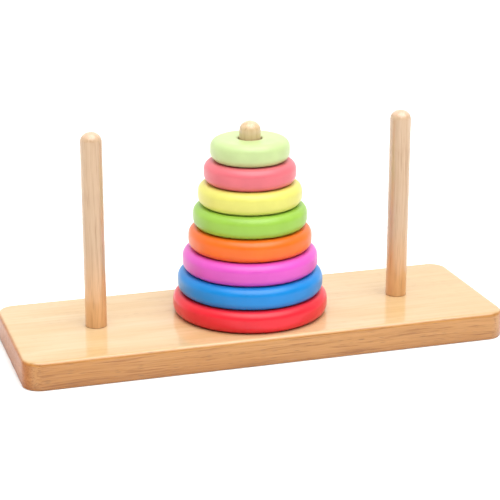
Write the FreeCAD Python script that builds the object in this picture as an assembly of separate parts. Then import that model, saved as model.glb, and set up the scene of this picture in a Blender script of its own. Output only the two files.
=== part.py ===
import FreeCAD
import Part

import math
import os

# Tower of Hanoi puzzle: a lacquered board, three glued pegs and eight loose discs.
#
# Units are millimetres. +X runs along the board, +Y across it and +Z up. The origin is the
# centre of the board's underside. All eight discs are stacked on the centre peg, with the
# largest at the bottom.

# Board
BOARD_LENGTH = 286.0
BOARD_WIDTH = 99.0
BOARD_THICKNESS = 16.5
BOARD_CORNER_RADIUS = 10.5
BOARD_TOP_ARRIS = 2.5
BOARD_UNDER_ARRIS = 1.0

# Pegs: domed on top, with a shoulder that stands on the board and a tenon glued into it
PEG_PLACES = {"peg_left": -92.5, "peg_centre": 0.0, "peg_right": 92.5}
PEG_RADIUS = 6.25
PEG_HEIGHT_ABOVE_BOARD = 114.0
PEG_DOME_HEIGHT = 5.6
PEG_DOME_SIDE_RADIUS = 5.0
PEG_SHOULDER_CHAMFER = 0.4
TENON_RADIUS = 4.0
TENON_LENGTH = 11.0
TENON_CHAMFER = 0.8
SOCKET_CLEARANCE = 0.05
SOCKET_DEPTH = 11.5

# Discs, from the smallest at the top of the stack to the largest on the board
DISC_DIAMETERS = {
    "disc_1_mint": 46.0,
    "disc_2_pink": 53.5,
    "disc_3_yellow": 60.5,
    "disc_4_green": 66.5,
    "disc_5_orange": 72.0,
    "disc_6_magenta": 79.0,
    "disc_7_blue": 85.0,
    "disc_8_red": 90.5,
}
DISC_THICKNESS = 13.0
DISC_BORE_RADIUS = 7.0
DISC_RIM_RADIUS = 5.0
DISC_CROWN_RADIUS = 30.0
DISC_BORE_EASE = 0.8

UP = FreeCAD.Vector(0, 0, 1)


def at(radius, height):
    """A point of a turned piece's half section, in the XZ plane."""
    return FreeCAD.Vector(radius, 0, height)


def line(start, end):
    return Part.LineSegment(start, end).toShape()


def arc_about(centre, radius, from_degrees, to_degrees):
    """An arc in the XZ plane. Zero degrees points outwards and ninety degrees up."""
    middle_degrees = (from_degrees + to_degrees) / 2
    angles = [math.radians(a) for a in (from_degrees, middle_degrees, to_degrees)]
    points = [centre + at(radius * math.cos(a), radius * math.sin(a)) for a in angles]
    return Part.Arc(*points).toShape()


def turned(edges):
    """The solid that a closed half section makes when it is turned about the Z axis."""
    face = Part.Face(Part.Wire(edges))
    return face.revolve(FreeCAD.Vector(), UP, 360)


def rounded_slab(length, width, thickness, corner_radius):
    """A flat slab on the XY plane with its four upright corners rounded."""
    slab = Part.makeBox(length, width, thickness, FreeCAD.Vector(-length / 2, -width / 2, 0))
    upright = [e for e in slab.Edges if abs(e.tangentAt(e.FirstParameter).z) > 0.99]
    return slab.makeFillet(corner_radius, upright)


def edges_at_height(shape, height):
    """The edges of a slab that lie flat at one height."""
    return [e for e in shape.Edges if max(abs(v.Z - height) for v in e.Vertexes) < 1e-6]


def base_board():
    """The board: rounded corners, softened arrises and a blind socket under each peg."""
    board = rounded_slab(BOARD_LENGTH, BOARD_WIDTH, BOARD_THICKNESS, BOARD_CORNER_RADIUS)
    board = board.makeFillet(BOARD_TOP_ARRIS, edges_at_height(board, BOARD_THICKNESS))
    board = board.makeFillet(BOARD_UNDER_ARRIS, edges_at_height(board, 0.0))
    socket_radius = TENON_RADIUS + SOCKET_CLEARANCE
    for x in PEG_PLACES.values():
        floor = FreeCAD.Vector(x, 0, BOARD_THICKNESS - SOCKET_DEPTH)
        board = board.cut(Part.makeCylinder(socket_radius, SOCKET_DEPTH, floor))
    return board


def peg(x):
    """A turned peg: a chamfered tenon, a shoulder at board height and a domed top."""
    top = PEG_HEIGHT_ABOVE_BOARD
    dome_foot = top - PEG_DOME_HEIGHT
    side_radius = PEG_DOME_SIDE_RADIUS
    side_centre = at(PEG_RADIUS - side_radius, dome_foot)

    # The crown passes through the top on the axis and runs smoothly into the dome's side.
    crown_radius = (
        (PEG_RADIUS**2 - 2 * PEG_RADIUS * side_radius + PEG_DOME_HEIGHT**2)
        / (2 * (PEG_DOME_HEIGHT - side_radius))
    )
    crown_centre = at(0, top - crown_radius)
    to_side = side_centre - crown_centre
    crown_meets = math.degrees(math.atan2(to_side.z, to_side.x))

    corners = [
        at(0, top),
        at(0, -TENON_LENGTH),
        at(TENON_RADIUS - TENON_CHAMFER, -TENON_LENGTH),
        at(TENON_RADIUS, TENON_CHAMFER - TENON_LENGTH),
        at(TENON_RADIUS, 0),
        at(PEG_RADIUS - PEG_SHOULDER_CHAMFER, 0),
        at(PEG_RADIUS, PEG_SHOULDER_CHAMFER),
        at(PEG_RADIUS, dome_foot),
    ]
    section = [line(start, end) for start, end in zip(corners, corners[1:])]
    section.append(arc_about(side_centre, side_radius, 0, crown_meets))
    section.append(arc_about(crown_centre, crown_radius, crown_meets, 90))
    solid = turned(section)
    solid.translate(FreeCAD.Vector(x, 0, BOARD_THICKNESS))
    return solid


def disc(diameter, underside):
    """A flat disc with a slightly crowned side, a full round at each rim and an eased bore."""
    middle = DISC_THICKNESS / 2
    rim_above_middle = middle - DISC_RIM_RADIUS
    crown_centre = at(diameter / 2 - DISC_CROWN_RADIUS, middle)
    to_rim_centre = DISC_CROWN_RADIUS - DISC_RIM_RADIUS
    rim_tilt = math.degrees(math.asin(rim_above_middle / to_rim_centre))
    rim_reach = crown_centre.x + math.sqrt(to_rim_centre**2 - rim_above_middle**2)
    upper_rim = at(rim_reach, middle + rim_above_middle)
    lower_rim = at(rim_reach, middle - rim_above_middle)

    bore = DISC_BORE_RADIUS
    ease = DISC_BORE_EASE
    section = [
        line(at(bore + ease, 0), at(rim_reach, 0)),
        arc_about(lower_rim, DISC_RIM_RADIUS, -90, -rim_tilt),
        arc_about(crown_centre, DISC_CROWN_RADIUS, -rim_tilt, rim_tilt),
        arc_about(upper_rim, DISC_RIM_RADIUS, rim_tilt, 90),
        line(at(rim_reach, DISC_THICKNESS), at(bore + ease, DISC_THICKNESS)),
        arc_about(at(bore + ease, DISC_THICKNESS - ease), ease, 90, 180),
        line(at(bore, DISC_THICKNESS - ease), at(bore, ease)),
        arc_about(at(bore + ease, ease), ease, 180, 270),
    ]
    solid = turned(section)
    solid.translate(FreeCAD.Vector(0, 0, underside))
    return solid


def all_pieces():
    """Every separate piece in its place, by name."""
    pieces = {"base_board": base_board()}
    for name, x in PEG_PLACES.items():
        pieces[name] = peg(x)
    underside = BOARD_THICKNESS
    for name, diameter in reversed(DISC_DIAMETERS.items()):
        pieces[name] = disc(diameter, underside)
        underside += DISC_THICKNESS
    return pieces


os.makedirs("parts", exist_ok=True)
for piece_name, shape in all_pieces().items():
    solid = shape.Solids[0]
    assert solid.isValid(), piece_name
    solid.exportStep(f"parts/{piece_name}.step")
    print(f"{piece_name}: {solid.Volume / 1000:.1f} cm3")
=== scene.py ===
import math

import bmesh
import bpy
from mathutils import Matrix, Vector


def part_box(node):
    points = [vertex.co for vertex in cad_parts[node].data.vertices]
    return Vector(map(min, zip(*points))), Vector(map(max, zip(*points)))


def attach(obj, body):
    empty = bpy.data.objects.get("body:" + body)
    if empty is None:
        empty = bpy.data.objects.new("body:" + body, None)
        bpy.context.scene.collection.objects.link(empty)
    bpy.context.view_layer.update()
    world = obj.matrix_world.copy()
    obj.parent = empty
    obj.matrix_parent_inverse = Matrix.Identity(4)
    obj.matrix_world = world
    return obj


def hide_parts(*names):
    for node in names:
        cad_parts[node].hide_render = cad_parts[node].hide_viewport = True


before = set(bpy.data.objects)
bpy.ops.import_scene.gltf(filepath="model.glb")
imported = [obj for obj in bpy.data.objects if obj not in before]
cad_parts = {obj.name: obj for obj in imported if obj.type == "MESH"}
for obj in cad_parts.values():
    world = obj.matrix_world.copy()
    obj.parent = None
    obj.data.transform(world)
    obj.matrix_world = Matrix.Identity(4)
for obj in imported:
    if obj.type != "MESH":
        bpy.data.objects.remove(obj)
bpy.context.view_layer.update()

# Lengths are in metres, in the row's frame: +X along the board, +Z up.
BOARD_CORNER_RADIUS = 0.0105
BOARD_TOP_ARRIS = 0.0025
BOARD_UNDER_ARRIS = 0.001
SOCKET_DEPTH = 0.0115
SOCKET_RADIUS = 0.00405
SOCKET_CHAMFER = 0.0001
PEG_DOME_HEIGHT = 0.0056
PEG_DOME_SIDE_RADIUS = 0.005
PEG_SHOULDER_CHAMFER = 0.0004
TENON_RADIUS = 0.004
TENON_CHAMFER = 0.0008
DISC_BORE_RADIUS = 0.007
DISC_RIM_RADIUS = 0.005
DISC_CROWN_RADIUS = 0.030
DISC_BORE_EASE = 0.0008

# How finely the pieces are divided
DISC_SEGMENTS = 192
PEG_SEGMENTS = 96
SOCKET_SEGMENTS = 96
CORNER_STEPS = 14
DISC_RIM_STEPS = 14
# Width of the plain border that runs inside the board's arrises, above and below
BOARD_BORDER = 0.004

# Faces that meet at more than this angle keep a crisp edge.
SHARP_ANGLE = math.radians(35)

PEGS = ("peg_left", "peg_centre", "peg_right")

# Paint colours as linear RGB, from the smallest disc to the largest
PAINTS = {
    "disc_1_mint": ("paint_mint", (0.51, 0.64, 0.28)),
    "disc_2_pink": ("paint_pink", (0.71, 0.143, 0.173)),
    "disc_3_yellow": ("paint_yellow", (0.70, 0.67, 0.145)),
    "disc_4_green": ("paint_green", (0.292, 0.52, 0.060)),
    "disc_5_orange": ("paint_orange", (0.84, 0.142, 0.006)),
    "disc_6_magenta": ("paint_magenta", (0.655, 0.082, 0.475)),
    "disc_7_blue": ("paint_blue", (0.000, 0.213, 0.59)),
    "disc_8_red": ("paint_red", (0.78, 0.013, 0.028)),
}


# ---------------------------------------------------------------- meshes

def arc(centre, radius, start, end, steps):
    """Points (r, z) on an arc, in degrees, with 0 pointing outwards and 90 up."""
    points = []
    for i in range(steps + 1):
        a = math.radians(start + (end - start) * i / steps)
        points.append((centre[0] + radius * math.cos(a), centre[1] + radius * math.sin(a)))
    return points


def spaced(start, end, steps):
    """Points (r, z) between two points, both ends left out."""
    return [
        (start[0] + (end[0] - start[0]) * i / steps, start[1] + (end[1] - start[1]) * i / steps)
        for i in range(1, steps)
    ]


def shown(name, mesh_builder, materials, node, body):
    """Makes an object of a bmesh, sets it to ride on its body and to stand for its CAD node."""
    mesh = bpy.data.meshes.new(name)
    mesh_builder.normal_update()
    for edge in mesh_builder.edges:
        edge.smooth = edge.calc_face_angle(0.0) < SHARP_ANGLE
    mesh_builder.to_mesh(mesh)
    mesh_builder.free()
    for polygon in mesh.polygons:
        polygon.use_smooth = True
    for material in materials:
        mesh.materials.append(material)
    piece = bpy.data.objects.new(name, mesh)
    bpy.context.scene.collection.objects.link(piece)
    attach(piece, body)
    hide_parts(node)
    return piece


def lathe(profile, closed, segments, axis_x):
    """Turns (r, z, mask) points about an upright axis. A radius of zero is one pole vertex."""
    built = bmesh.new()
    mask_layer = built.verts.layers.float.new("mask")
    rings = []
    for r, z, mask in profile:
        ring = []
        count = 1 if r == 0 else segments
        for i in range(count):
            a = 2 * math.pi * i / segments
            direction = Vector((math.cos(a), math.sin(a), 0))
            where = direction * r + Vector((0, 0, z))
            vertex = built.verts.new(where + Vector((axis_x, 0, 0)))
            vertex[mask_layer] = mask
            ring.append(vertex)
        rings.append(ring)
    pairs = list(zip(rings, rings[1:]))
    if closed:
        pairs.append((rings[-1], rings[0]))
    for low, high in pairs:
        for i in range(segments):
            j = (i + 1) % segments
            corners = [low[i % len(low)], low[j % len(low)], high[j % len(high)], high[i % len(high)]]
            distinct = list(dict.fromkeys(corners))
            built.faces.new(distinct)
    bmesh.ops.recalc_face_normals(built, faces=built.faces)
    return built


def disc_profile(radius, thickness, underside):
    """Closed half section of a disc. The mask is 1 on the bore and 0 on the painted outside."""
    middle = thickness / 2
    above = middle - DISC_RIM_RADIUS
    crown_centre = (radius - DISC_CROWN_RADIUS, middle)
    to_rim = DISC_CROWN_RADIUS - DISC_RIM_RADIUS
    tilt = math.degrees(math.asin(above / to_rim))
    rim_r = crown_centre[0] + math.sqrt(to_rim**2 - above**2)
    bore = DISC_BORE_RADIUS
    ease = DISC_BORE_EASE

    outside = []
    outside += arc((rim_r, middle - above), DISC_RIM_RADIUS, -90, -tilt, DISC_RIM_STEPS)
    outside += arc(crown_centre, DISC_CROWN_RADIUS, -tilt, tilt, 4)[1:-1]
    outside += arc((rim_r, middle + above), DISC_RIM_RADIUS, tilt, 90, DISC_RIM_STEPS)
    outside += spaced((rim_r, thickness), (bore + ease, thickness), 5)
    inside = []
    inside += arc((bore + ease, thickness - ease), ease, 90, 180, 5)
    inside += spaced((bore, thickness - ease), (bore, ease), 3)
    inside += arc((bore + ease, ease), ease, 180, 270, 5)
    below = spaced((bore + ease, 0), (rim_r, 0), 5)
    points = [(r, z, 0.0) for r, z in outside]
    points += [(r, z, 1.0) for r, z in inside]
    points += [(r, z, 0.0) for r, z in below]
    return [(r, z + underside, m) for r, z, m in points]


def make_disc(node, slot, colour, seed):
    low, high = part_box(node)
    profile = disc_profile((high.x - low.x) / 2, high.z - low.z, low.z)
    built = lathe(profile, True, DISC_SEGMENTS, 0.0)
    body = "disc_" + node.split("_")[1]
    return shown(node + "_painted", built, [paint(slot, colour, seed)], node, body)


def peg_profile(radius, foot, shoulder, top):
    """Open half section of a peg from the pole of its tenon to the pole of its dome."""
    dome_foot = top - PEG_DOME_HEIGHT
    side_radius = PEG_DOME_SIDE_RADIUS
    side = (radius - side_radius, dome_foot)
    crown_radius = (
        (radius**2 - 2 * radius * side_radius + PEG_DOME_HEIGHT**2)
        / (2 * (PEG_DOME_HEIGHT - side_radius))
    )
    crown = (0.0, top - crown_radius)
    meets = math.degrees(math.atan2(side[1] - crown[1], side[0] - crown[0]))
    wall_foot = (radius, shoulder + PEG_SHOULDER_CHAMFER)
    points = [
        (0.0, foot),
        (TENON_RADIUS - TENON_CHAMFER, foot),
        (TENON_RADIUS, foot + TENON_CHAMFER),
        (TENON_RADIUS, shoulder),
        (radius - PEG_SHOULDER_CHAMFER, shoulder),
        wall_foot,
    ]
    points += spaced(wall_foot, (radius, dome_foot), 30)
    points += arc(side, side_radius, 0, meets, 10)
    points += arc(crown, crown_radius, meets, 90, 5)[1:-1]
    points += [(0.0, top)]
    return [(r, z, 0.0) for r, z in points]


def make_peg(node, seed):
    low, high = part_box(node)
    board_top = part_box("base_board")[1].z
    profile = peg_profile((high.x - low.x) / 2, low.z, board_top, high.z)
    built = lathe(profile, False, PEG_SEGMENTS, (high.x + low.x) / 2)
    look = CENTRE_PEG_WOOD if node == "peg_centre" else PEG_WOOD
    material = wood(node + "_wood", "Z", seed, look)
    return shown(node + "_dowel", built, [material], node, "base")


def outline(half_length, half_width, corner, inset, z):
    """Points round a rectangle with rounded corners, moved inwards by inset."""
    points = []
    radius = corner - inset
    for k, (sx, sy) in enumerate(((1, 1), (-1, 1), (-1, -1), (1, -1))):
        cx, cy = sx * (half_length - corner), sy * (half_width - corner)
        for i in range(CORNER_STEPS + 1):
            a = math.radians(90 * k + 90 * i / CORNER_STEPS)
            points.append(Vector((cx + radius * math.cos(a), cy + radius * math.sin(a), z)))
    return points


def make_board():
    """The board, with softened arrises and a blind socket for each peg."""
    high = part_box("base_board")[1]
    half_length, half_width, top = high.x, high.y, high.z
    built = bmesh.new()

    sections = [(BOARD_BORDER, 0.0)]
    for inset, z in arc((-BOARD_UNDER_ARRIS, BOARD_UNDER_ARRIS), BOARD_UNDER_ARRIS, -90, 0, 5):
        sections.append((-inset, z))
    for part in range(1, 5):
        z = BOARD_UNDER_ARRIS + (top - BOARD_TOP_ARRIS - BOARD_UNDER_ARRIS) * part / 5
        sections.append((0.0, z))
    for inset, z in arc((-BOARD_TOP_ARRIS, top - BOARD_TOP_ARRIS), BOARD_TOP_ARRIS, 0, 90, 10):
        sections.append((-inset, z))
    sections.append((BOARD_BORDER, top))

    rings = []
    for inset, z in sections:
        points = outline(half_length, half_width, BOARD_CORNER_RADIUS, inset, z)
        rings.append([built.verts.new(point) for point in points])
    count = len(rings[0])
    for lower, upper in zip(rings, rings[1:]):
        for i in range(count):
            j = (i + 1) % count
            built.faces.new((lower[i], lower[j], upper[j], upper[i]))
    built.faces.new(list(reversed(rings[0])))

    rim_edges = [built.edges.get((rings[-1][i], rings[-1][(i + 1) % count])) for i in range(count)]
    segments = SOCKET_SEGMENTS
    for node in PEGS:
        a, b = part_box(node)
        x = (a.x + b.x) / 2
        loops = []
        for r, z in (
            (SOCKET_RADIUS + SOCKET_CHAMFER, top),
            (SOCKET_RADIUS, top - SOCKET_CHAMFER),
            (SOCKET_RADIUS, top - SOCKET_DEPTH),
        ):
            loop = []
            for i in range(segments):
                t = 2 * math.pi * i / segments
                loop.append(built.verts.new((x + r * math.cos(t), r * math.sin(t), z)))
            loops.append(loop)
        for upper, lower in zip(loops, loops[1:]):
            for i in range(segments):
                j = (i + 1) % segments
                built.faces.new((upper[i], upper[j], lower[j], lower[i]))
        built.faces.new(loops[-1])
        rim_edges += [
            built.edges.get((loops[0][i], loops[0][(i + 1) % segments])) for i in range(segments)
        ]
    bmesh.ops.triangle_fill(built, edges=rim_edges, use_beauty=True, normal=(0, 0, 1))
    bmesh.ops.recalc_face_normals(built, faces=built.faces)
    material = wood("board_wood", "X", 3.0, BOARD_WOOD)
    return shown("board_slab", built, [material], "base_board", "base")


# ---------------------------------------------------------------- materials

class Graph:
    """A short way to write the nodes of a material or of the world."""

    def __init__(self, tree):
        self.tree = tree
        self.shader = tree.nodes.get("Principled BSDF")

    def put(self, socket, value):
        if isinstance(value, bpy.types.NodeSocket):
            self.tree.links.new(value, socket)
        else:
            socket.default_value = value

    def add(self, kind, inputs=None, **settings):
        made = self.tree.nodes.new("ShaderNode" + kind)
        for key, value in settings.items():
            setattr(made, key, value)
        for key, value in (inputs or {}).items():
            self.put(made.inputs[key], value)
        return made

    def math(self, operation, a, b=0.0, c=0.0, clamp=False):
        made = self.add("Math", {0: a, 1: b, 2: c}, operation=operation, use_clamp=clamp)
        return made.outputs[0]

    def remap(self, value, low, high, to_low=0.0, to_high=1.0, smooth=True):
        made = self.add(
            "MapRange",
            {"Value": value, "From Min": low, "From Max": high, "To Min": to_low, "To Max": to_high},
            interpolation_type="SMOOTHSTEP" if smooth else "LINEAR",
        )
        return made.outputs[0]

    def mix(self, factor, a, b, blend="MIX"):
        made = self.add("Mix", data_type="RGBA", blend_type=blend)
        self.put(made.inputs[0], factor)
        for index, value in ((6, a), (7, b)):
            if isinstance(value, tuple):
                value = (*value, 1.0)
            self.put(made.inputs[index], value)
        return made.outputs[2]

    def noise(self, vector, scale=1.0, detail=2.0, roughness=0.5, dimensions="3D", w=None):
        inputs = {"Scale": scale, "Detail": detail, "Roughness": roughness}
        if dimensions != "1D":
            inputs["Vector"] = vector
        if w is not None:
            inputs["W"] = w
        return self.add("TexNoise", inputs, noise_dimensions=dimensions).outputs[0]


def new_material(name):
    material = bpy.data.materials.new(name)
    material.use_nodes = True
    return material, Graph(material.node_tree)


BOARD_WOOD = {
    "light": (0.66, 0.475, 0.262),
    "dark": (0.52, 0.34, 0.155),
    "line": (0.36, 0.20, 0.085),
    "pore": (0.20, 0.10, 0.04),
    "pore_size": (0.0065, 0.0006),
    # The upright tint is painted shade: the board's front, back and ends darker and more saturated
    # than its top.
    "upright_painted_shade_tint": (0.85, 0.57, 0.305),
    # On the board the end tint darkens the end grain.
    "end_grain_and_dome_highlight_tint": (0.84, 0.60, 0.36),
    "end_coat": 0.30,
    # The low tint is painted shade, darker towards the bottom of the board.
    "foot_painted_light_tint": (0.82, 0.76, 0.70),
    "low_from": 0.007,
    "low_to": 0.0,
    "warm_tint": (0.94, 0.88, 0.76),
    "warm_from": 0.03,
    "warm_to": 0.13,
    "pith": (-0.018, -0.095),
    "ring": 0.0042,
    "face_contrast": 0.40,
    "upright_contrast": 1.0,
}
PEG_WOOD = {
    "light": (0.64, 0.46, 0.305),
    "dark": (0.53, 0.345, 0.20),
    "line": (0.40, 0.235, 0.12),
    "pore": (0.36, 0.20, 0.10),
    "pore_size": (0.016, 0.00045),
    "upright_painted_shade_tint": (1.0, 1.0, 1.0),
    # On the pegs the end tint is a painted highlight that lightens and cools the domes, where the top
    # light falls.
    "end_grain_and_dome_highlight_tint": (1.14, 1.12, 1.20),
    "end_coat": 1.0,
    # The low tint is painted warm bounce light from the board, growing towards the foot of each peg.
    "foot_painted_light_tint": (1.25, 1.00, 0.70),
    "low_from": 0.070,
    "low_to": 0.020,
    "warm_tint": (0.95, 0.92, 0.88),
    # Beyond the length of a peg, so that no peg has a warm end
    "warm_from": 1.0,
    "warm_to": 2.0,
    "pith": (0.030, 0.045),
    "ring": 0.0022,
    "face_contrast": 0.75,
    "upright_contrast": 0.75,
}
# The centre peg was cut from a yellower dowel than the outer two.
CENTRE_PEG_WOOD = {**PEG_WOOD, "light": (0.70, 0.53, 0.32), "dark": (0.58, 0.40, 0.21)}


def wood(name, grain, seed, look):
    """Pale, straight-grained hardwood under a clear lacquer.

    grain is the axis that the fibres follow. Growth rings are irregular shells round a pith
    that lies outside the piece, so the faces, edges and end grain agree with each other.
    """
    material, g = new_material(name)
    place = g.add("TexCoord").outputs["Object"]
    split = g.add("SeparateXYZ", {0: place})
    along, across, depth = {
        "X": (split.outputs[0], split.outputs[1], split.outputs[2]),
        "Z": (split.outputs[2], split.outputs[0], split.outputs[1]),
    }[grain]

    # Fibres wander a little along the length.
    slow = g.add("CombineXYZ", {0: g.math("MULTIPLY", along, 9.0),
                                1: g.math("MULTIPLY", across, 22.0),
                                2: g.math("MULTIPLY_ADD", depth, 22.0, seed)})
    drift = g.add("TexNoise", {"Vector": slow.outputs[0], "Scale": 1.0, "Detail": 1.0})
    bend = g.add("SeparateColor", {0: drift.outputs["Color"]})
    across = g.math("ADD", across, g.math("MULTIPLY_ADD", bend.outputs[0], 0.005, -0.0025))
    depth = g.math("ADD", depth, g.math("MULTIPLY_ADD", bend.outputs[1], 0.005, -0.0025))

    # Growth rings
    from_pith_a = g.math("SUBTRACT", across, look["pith"][0])
    from_pith_d = g.math("SUBTRACT", depth, look["pith"][1])
    radius = g.math("SQRT", g.math("ADD", g.math("POWER", from_pith_a, 2.0),
                                   g.math("POWER", from_pith_d, 2.0)))
    turns = g.math("MULTIPLY_ADD", radius, 1 / look["ring"], seed * 7.3)
    bands = g.noise(None, 1.0, 2.0, 0.6, "1D", w=turns)
    bands = g.remap(bands, 0.35, 0.72)

    def stretched(length, width, detail, rough, shift):
        """Noise drawn out along the fibres. length and width are in metres."""
        vector = g.add("CombineXYZ", {0: g.math("MULTIPLY_ADD", along, 1 / length, shift),
                                      1: g.math("MULTIPLY", across, 1 / width),
                                      2: g.math("MULTIPLY", depth, 1 / width)})
        return vector.outputs[0], g.noise(vector.outputs[0], 1.0, detail, rough)

    _, fibres = stretched(0.030, 0.0007, 4.0, 0.65, seed)
    _, streaks = stretched(0.055, 0.0022, 3.0, 0.6, seed + 9)
    _, clouds = stretched(0.090, 0.0180, 2.0, 0.5, seed + 21)
    _, lines = stretched(0.034, 0.0010, 3.0, 0.7, seed + 33)

    # The upright faces show the fibres more strongly than the top does.
    normal = g.add("SeparateXYZ", {0: g.add("NewGeometry").outputs["Normal"]})
    upright = g.remap(g.math("ABSOLUTE", normal.outputs[2]), 0.99, 0.50)
    contrast = g.remap(upright, 0.0, 1.0, look["face_contrast"], look["upright_contrast"])
    end = g.remap(g.math("ABSOLUTE", normal.outputs["XYZ".index(grain)]), 0.40, 0.95)

    # Open pores: short dark dashes along the fibres
    cells, _ = stretched(*look["pore_size"], 0.0, 0.5, seed + 4)
    pore_cells = g.add("TexVoronoi", {"Vector": cells, "Scale": 1.0})
    chance = g.add("SeparateColor", {0: pore_cells.outputs["Color"]}).outputs[0]
    pore = g.remap(pore_cells.outputs["Distance"], 0.45, 0.10)
    picked = g.remap(g.math("ADD", chance, g.math("MULTIPLY", bands, 0.3)), 0.80, 1.05)
    pore = g.math("MULTIPLY", g.math("MULTIPLY", pore, picked), contrast)

    tone = g.math("MULTIPLY", bands, 0.35)
    tone = g.math("ADD", tone, g.math("MULTIPLY", g.remap(streaks, 0.38, 0.68), 0.42))
    tone = g.math("ADD", tone, g.math("MULTIPLY", g.remap(fibres, 0.35, 0.70), 0.30))
    tone = g.math("MULTIPLY", tone, contrast, clamp=True)
    colour = g.mix(tone, look["light"], look["dark"])
    drawn = g.math("MULTIPLY", g.remap(lines, 0.50, 0.68), g.math("POWER", contrast, 2.0))
    colour = g.mix(g.math("MULTIPLY", drawn, 0.75), colour, look["line"])
    warm = g.mix(1.0, colour, look["warm_tint"], "MULTIPLY")
    warm_end = g.math("SUBTRACT", g.remap(along, look["warm_from"], look["warm_to"]), upright)
    warmth = g.math("MAXIMUM", g.remap(clouds, 0.35, 0.65), warm_end)
    colour = g.mix(warmth, colour, warm)

    # Painted shade darkens the upright faces, and the board's end grain is darker.
    # Painted light near the foot: shade at the board's bottom, warm bounce light on the pegs.
    foot_painted_light = g.remap(split.outputs[2], look["low_from"], look["low_to"])
    # On the peg domes the end tint is a painted highlight.
    for amount, tint in ((upright, "upright_painted_shade_tint"), (end, "end_grain_and_dome_highlight_tint"), (foot_painted_light, "foot_painted_light_tint")):
        colour = g.mix(amount, colour, g.mix(1.0, colour, look[tint], "MULTIPLY"))
    colour = g.mix(g.math("MULTIPLY", pore, 0.7), colour, look["pore"])
    g.put(g.shader.inputs["Base Color"], colour)

    rough = g.remap(streaks, 0.2, 0.8, 0.42, 0.55)
    g.put(g.shader.inputs["Roughness"], g.math("MULTIPLY_ADD", pore, 0.2, rough))
    g.put(g.shader.inputs["IOR"], 1.45)
    g.put(g.shader.inputs["Specular IOR Level"], 0.2)
    g.put(g.shader.inputs["Coat Weight"], g.remap(end, 0.0, 1.0, 1.0, look["end_coat"]))
    g.put(g.shader.inputs["Coat Roughness"], 0.13)

    height = g.math("MULTIPLY_ADD", pore, -1.0, g.math("MULTIPLY", fibres, 0.35))
    bump = g.add("Bump", {"Strength": 0.3, "Distance": 0.00005, "Height": height})
    g.put(g.shader.inputs["Normal"], bump.outputs[0])
    return material


def paint(name, colour, seed):
    """Satin paint sprayed over a turned wooden disc, thin where the bore rubs on the peg."""
    material, g = new_material(name)
    place = g.add("TexCoord").outputs["Object"]
    moved = g.add("VectorMath", {0: place, 1: (seed * 0.37, seed * 0.21, 0.0)}, operation="ADD")
    place = moved.outputs[0]

    mottle = g.noise(place, 70.0, 3.0, 0.5)
    darker = tuple(c * 0.95 for c in colour)
    lighter = tuple(min(1.0, c * 1.03) for c in colour)
    coat = g.mix(g.remap(mottle, 0.3, 0.7), darker, lighter)

    # The bore is barely sprayed, so the wood shows in it.
    mask = g.add("Attribute", attribute_name="mask").outputs["Fac"]
    ragged = g.math("ADD", mask, g.math("MULTIPLY_ADD", g.noise(place, 900.0, 2.0), 0.8, -0.4))
    bare = g.math("MULTIPLY", g.remap(ragged, 0.75, 1.0), 0.35)
    g.put(g.shader.inputs["Base Color"], g.mix(bare, coat, (0.55, 0.38, 0.22)))

    speckle = g.noise(place, 260.0, 3.0, 0.6)
    rough = g.remap(speckle, 0.3, 0.7, 0.36, 0.44)
    g.put(g.shader.inputs["Roughness"], g.math("MULTIPLY_ADD", bare, 0.25, rough))
    g.put(g.shader.inputs["IOR"], 1.45)
    g.put(g.shader.inputs["Specular IOR Level"], 0.25)
    g.put(g.shader.inputs["Coat Weight"], 0.46)
    g.put(g.shader.inputs["Coat Roughness"], 0.34)

    # Orange peel, with a hint of the wood's grain under the paint
    peel = g.noise(place, 900.0, 2.0, 0.5)
    stretch = g.add("VectorMath", {0: place, 1: (40.0, 1400.0, 1400.0)}, operation="MULTIPLY")
    grain = g.noise(stretch.outputs[0], 1.0, 3.0, 0.6)
    height = g.math("MULTIPLY_ADD", grain, 0.6, peel)
    bump = g.add("Bump", {"Strength": 0.25, "Distance": 0.00003, "Height": height})
    g.put(g.shader.inputs["Normal"], bump.outputs[0])
    return material


# ---------------------------------------------------------------- the puzzle

make_board()
for number, peg_node in enumerate(PEGS):
    make_peg(peg_node, 5.0 + 3.7 * number)
for number, (disc_node, (paint_slot, paint_colour)) in enumerate(PAINTS.items()):
    make_disc(disc_node, paint_slot, paint_colour, float(number))


# ---------------------------------------------------------------- studio

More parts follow.
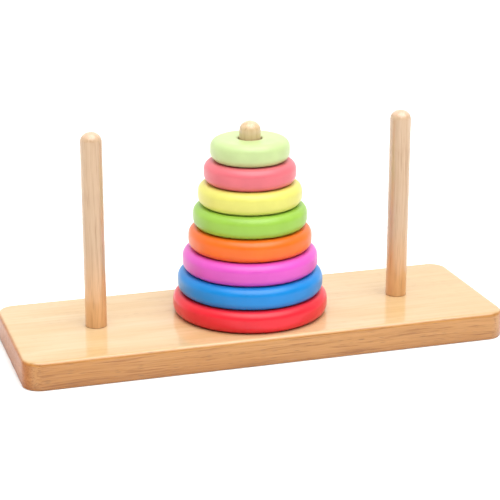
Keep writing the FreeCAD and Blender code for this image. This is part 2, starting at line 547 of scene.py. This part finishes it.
def make_floor():
    half = 30.0
    built = bmesh.new()
    corners = [built.verts.new((x, y, 0)) for x, y in
               ((-half, -half), (half, -half), (half, half), (-half, half))]
    built.faces.new(corners)
    mesh = bpy.data.meshes.new("studio_floor")
    built.to_mesh(mesh)
    built.free()
    material, g = new_material("studio_white")
    g.put(g.shader.inputs["Base Color"], (0.92, 0.92, 0.92, 1.0))
    g.put(g.shader.inputs["Roughness"], 0.9)
    g.put(g.shader.inputs["Specular IOR Level"], 0.1)
    mesh.materials.append(material)
    floor = bpy.data.objects.new("studio_floor", mesh)
    bpy.context.scene.collection.objects.link(floor)


def make_world():
    """White walls behind and beside, a dark player's side and a big softbox overhead."""
    world = bpy.data.worlds.new("studio")
    world.use_nodes = True
    g = Graph(world.node_tree)
    towards = g.add("TexCoord").outputs["Generated"]
    depth = g.add("SeparateXYZ", {0: towards}).outputs[1]
    walls = g.remap(depth, -0.6, 0.6, 0.10, 1.0)
    softbox_aim = Vector((0.06, -0.33, 0.93)).normalized()
    facing = g.add("VectorMath", {0: towards, 1: tuple(softbox_aim)}, operation="DOT_PRODUCT")
    softbox = g.remap(facing.outputs["Value"], 0.72, 0.98, 0.0, 4.85)
    lit = g.math("ADD", walls, softbox)
    seen = g.add("LightPath").outputs["Is Camera Ray"]
    strength = g.add("Mix", {0: seen, 2: lit, 3: 1.0}, data_type="FLOAT").outputs[0]
    background = world.node_tree.nodes["Background"]
    g.put(background.inputs["Color"], (1.0, 1.0, 1.0, 1.0))
    g.put(background.inputs["Strength"], strength)
    bpy.context.scene.world = world


def make_camera():
    """A long lens to the left of the player's side, a little above the puzzle."""
    target = Vector((0.0, 0.0, 0.0530))
    azimuth, elevation, distance = math.radians(-17.32), math.radians(17.77), 0.9706
    back = Vector((
        math.sin(azimuth) * math.cos(elevation),
        -math.cos(azimuth) * math.cos(elevation),
        math.sin(elevation),
    ))
    lens = bpy.data.cameras.new("camera")
    lens.sensor_width = 36.0
    lens.lens = 119.7
    lens.clip_start = 0.01
    lens.clip_end = 200.0
    camera = bpy.data.objects.new("camera", lens)
    camera.location = target + back * distance
    camera.rotation_mode = "QUATERNION"
    camera.rotation_quaternion = (-back).to_track_quat("-Z", "Y")
    bpy.context.scene.collection.objects.link(camera)
    bpy.context.scene.camera = camera


make_floor()
make_world()
make_camera()
bpy.context.scene.view_settings.view_transform = "Standard"
